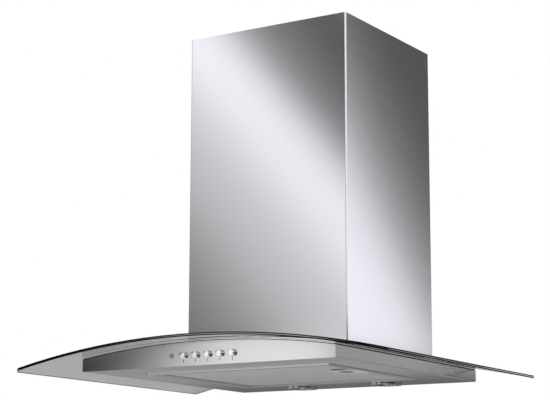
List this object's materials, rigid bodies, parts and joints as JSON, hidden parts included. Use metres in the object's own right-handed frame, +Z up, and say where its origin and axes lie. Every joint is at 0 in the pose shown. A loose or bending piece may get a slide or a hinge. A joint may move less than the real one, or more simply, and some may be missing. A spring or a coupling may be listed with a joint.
{
  "type": "range hood",
  "caption": "Wall-mounted range hood: arched smoked-glass canopy on a shallow steel body with push buttons, lamps and a drop-down grease filter, under a square telescopic flue cover.",
  "frame": {"origin": "on the wall plane, in the middle of the width, level with the underside of the steel body", "axes": "+X to the right seen from the front, +Y into the wall, +Z up"},
  "size_m": [0.6, 0.455, 0.5192],
  "materials": {
    "steel": "fine horizontal brush, satin",
    "zinc": "zinc-coated sheet, dull",
    "screw": "zinc plated",
    "bare_steel": "ground steel",
    "smoked_glass": "tempered, smoked",
    "seal": "matt black",
    "blower_plastic": "moulded, matt",
    "spigot_plastic": "moulded, matt",
    "flap_plastic": "moulded, matt",
    "box_plastic": "moulded, matt",
    "motor_case": "grey paint",
    "capacitor_case": "moulded, matt",
    "transformer_case": "moulded, matt",
    "switch_plastic": "moulded, matt",
    "indicator": "clear grey",
    "button_chrome": "polished",
    "filter_aluminium": "natural, satin",
    "mesh_aluminium": "expanded metal, natural",
    "latch_grey": "moulded, metallic grey",
    "lamp_trim": "polished",
    "lamp_glass": "frosted",
    "socket_ceramic": "unglazed white"
  },
  "bodies": {
    "hood": {"canopy_tray": "steel", "top_deck": "zinc", "front_fascia": "steel", "glass_canopy": "smoked_glass", "glass_seal": "seal", "glass_clips": "zinc", "glass_clip_screws": "screw", "lower_flue": "steel", "motor_box": "zinc", "motor_box_screws": "screw", "volute_right": "blower_plastic", "volute_left": "blower_plastic", "volute_screws": "screw", "fan_motor": "motor_case", "motor_bracket": "zinc", "outlet_spigot": "spigot_plastic", "damper_rod": "bare_steel", "terminal_box": "box_plastic", "terminal_cover": "box_plastic", "cable_gland": "box_plastic", "run_capacitor": "capacitor_case", "capacitor_clip": "zinc", "lamp_transformer": "transformer_case", "switch_block": "switch_plastic", "switch_bracket": "zinc", "indicator_lens": "indicator", "lamp_bezel_left": "lamp_trim", "lamp_lens_left": "lamp_glass", "lamp_housing_left": "zinc", "lamp_socket_left": "socket_ceramic", "lamp_capsule_left": "lamp_glass", "lamp_bezel_right": "lamp_trim", "lamp_lens_right": "lamp_glass", "lamp_housing_right": "zinc", "lamp_socket_right": "socket_ceramic", "lamp_capsule_right": "lamp_glass"},
    "upper_flue": {"upper_flue": "steel", "flue_wall_bracket": "zinc", "flue_bracket_screws": "screw"},
    "impeller": {"impeller_hub": "zinc", "impeller_blades": "zinc", "impeller_rings": "zinc", "motor_shaft": "bare_steel"},
    "flap_front": {"damper_flap_front": "flap_plastic"},
    "flap_rear": {"damper_flap_rear": "flap_plastic"},
    "filter": {"filter_frame": "filter_aluminium", "filter_mesh_lower": "mesh_aluminium", "filter_mesh_upper": "mesh_aluminium", "filter_core": "mesh_aluminium", "latch_housing": "latch_grey"},
    "filter_latch": {"filter_latch": "latch_grey"},
    "button_1": {"button_1": "button_chrome"},
    "button_2": {"button_2": "button_chrome"},
    "button_3": {"button_3": "button_chrome"},
    "button_4": {"button_4": "button_chrome"},
    "button_5": {"button_5": "button_chrome"}
  },
  "joints": [
    {"name": "upper_flue_slide", "type": "slide", "parent": "hood", "child": "upper_flue", "axis": [0, 0, 1], "range_m": [0, 0.385]},
    {"name": "impeller_spin", "type": "hinge", "parent": "hood", "child": "impeller", "pos_m": [0, -0.15, 0.128], "axis": [1, 0, 0], "continuous": true},
    {"name": "flap_front_swing", "type": "hinge", "parent": "hood", "child": "flap_front", "pos_m": [0, -0.0975, 0.261], "axis": [-1, 0, 0], "range_deg": [0, 75]},
    {"name": "flap_rear_swing", "type": "hinge", "parent": "hood", "child": "flap_rear", "pos_m": [0, -0.0975, 0.261], "axis": [1, 0, 0], "range_deg": [0, 75]},
    {"name": "filter_drop", "type": "hinge", "parent": "hood", "child": "filter", "pos_m": [-0.1494, -0.2165, 0.007], "axis": [0, 1, 0], "range_deg": [0, 35]},
    {"name": "filter_latch_slide", "type": "slide", "parent": "filter", "child": "filter_latch", "axis": [-1, 0, 0], "range_m": [0, 0.006], "stiffness_N_per_m": 400, "springref_m": -0.004},
    {"name": "button_1_press", "type": "slide", "parent": "hood", "child": "button_1", "axis": [0, 1, 0], "range_m": [0, 0.0035], "stiffness_N_per_m": 400, "springref_m": -0.002},
    {"name": "button_2_press", "type": "slide", "parent": "hood", "child": "button_2", "axis": [0, 1, 0], "range_m": [0, 0.0035], "stiffness_N_per_m": 400, "springref_m": -0.002},
    {"name": "button_3_press", "type": "slide", "parent": "hood", "child": "button_3", "axis": [0, 1, 0], "range_m": [0, 0.0035], "stiffness_N_per_m": 400, "springref_m": -0.002},
    {"name": "button_4_press", "type": "slide", "parent": "hood", "child": "button_4", "axis": [0, 1, 0], "range_m": [0, 0.0035], "stiffness_N_per_m": 400, "springref_m": -0.002},
    {"name": "button_5_press", "type": "slide", "parent": "hood", "child": "button_5", "axis": [0, 1, 0], "range_m": [0, 0.0035], "stiffness_N_per_m": 400, "springref_m": -0.002}
  ]
}
